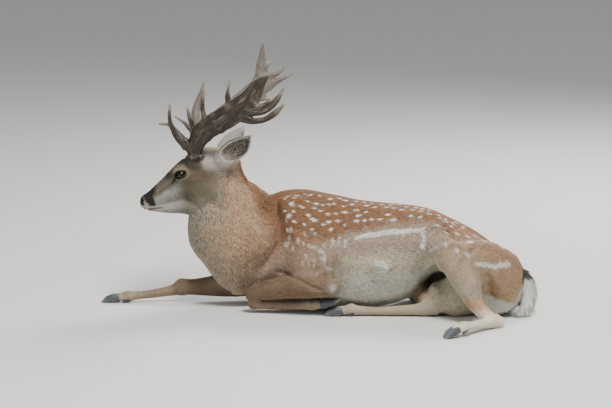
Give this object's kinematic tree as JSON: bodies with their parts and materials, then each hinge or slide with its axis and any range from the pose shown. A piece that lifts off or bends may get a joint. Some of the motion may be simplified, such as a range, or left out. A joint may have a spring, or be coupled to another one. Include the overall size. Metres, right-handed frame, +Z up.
{
  "type": "fallow deer buck lying down",
  "caption": "Life-size spotted fallow buck at rest with its head up, palmate antlers, one foreleg stretched out and the other legs folded.",
  "frame": {"origin": "on the floor, under the middle of the animal's bounding box", "axes": "+Z up; the nose points towards -X and the left flank faces -Y"},
  "size_m": [1.4214, 0.6974, 0.833],
  "materials": {
    "coat": "short rusty-brown summer coat with white spots, pale belly",
    "face_coat": "short grey-brown face coat, pale round the eye and chin",
    "leg_coat": "short buff coat",
    "white_coat": "longer white hair",
    "antler": null,
    "hoof": "slate-grey horn",
    "eye": "wet black-brown, opaque"
  },
  "bodies": {
    "root": {"antler_left_bay": "antler", "antler_left_beam": "antler", "antler_left_brow": "antler", "antler_left_front": "antler", "antler_left_high_speller": "antler", "antler_left_low_speller": "antler", "antler_left_mid_speller": "antler", "antler_left_palm": "antler", "antler_left_trez": "antler", "antler_right_back": "antler", "antler_right_bay": "antler", "antler_right_beam": "antler", "antler_right_brow": "antler", "antler_right_high_speller": "antler", "antler_right_low_speller": "antler", "antler_right_mid_speller": "antler", "antler_right_palm": "antler", "antler_right_trez": "antler", "barrel": "coat", "chest": "coat", "ear_left": "face_coat", "ear_right": "face_coat", "eye_left": "eye", "eye_right": "eye", "foreleg_left_cannon": "leg_coat", "foreleg_left_claw_inner": "hoof", "foreleg_left_claw_outer": "hoof", "foreleg_left_forearm": "coat", "foreleg_left_pastern": "leg_coat", "foreleg_right_cannon": "leg_coat", "foreleg_right_claw_inner": "hoof", "foreleg_right_claw_outer": "hoof", "foreleg_right_forearm": "coat", "foreleg_right_pastern": "leg_coat", "groin": "white_coat", "head": "face_coat", "hindleg_left_cannon": "leg_coat", "hindleg_left_claw_inner": "hoof", "hindleg_left_claw_outer": "hoof", "hindleg_left_pastern": "leg_coat", "hindleg_left_shank": "leg_coat", "hindleg_left_thigh": "coat", "hindleg_right_cannon": "leg_coat", "hindleg_right_claw_inner": "hoof", "hindleg_right_claw_outer": "hoof", "hindleg_right_pastern": "leg_coat", "hindleg_right_shank": "coat", "hindleg_right_thigh": "coat", "jaw": "face_coat", "neck": "coat", "rump": "coat", "tail": "white_coat"}
  },
  "joints": []
}
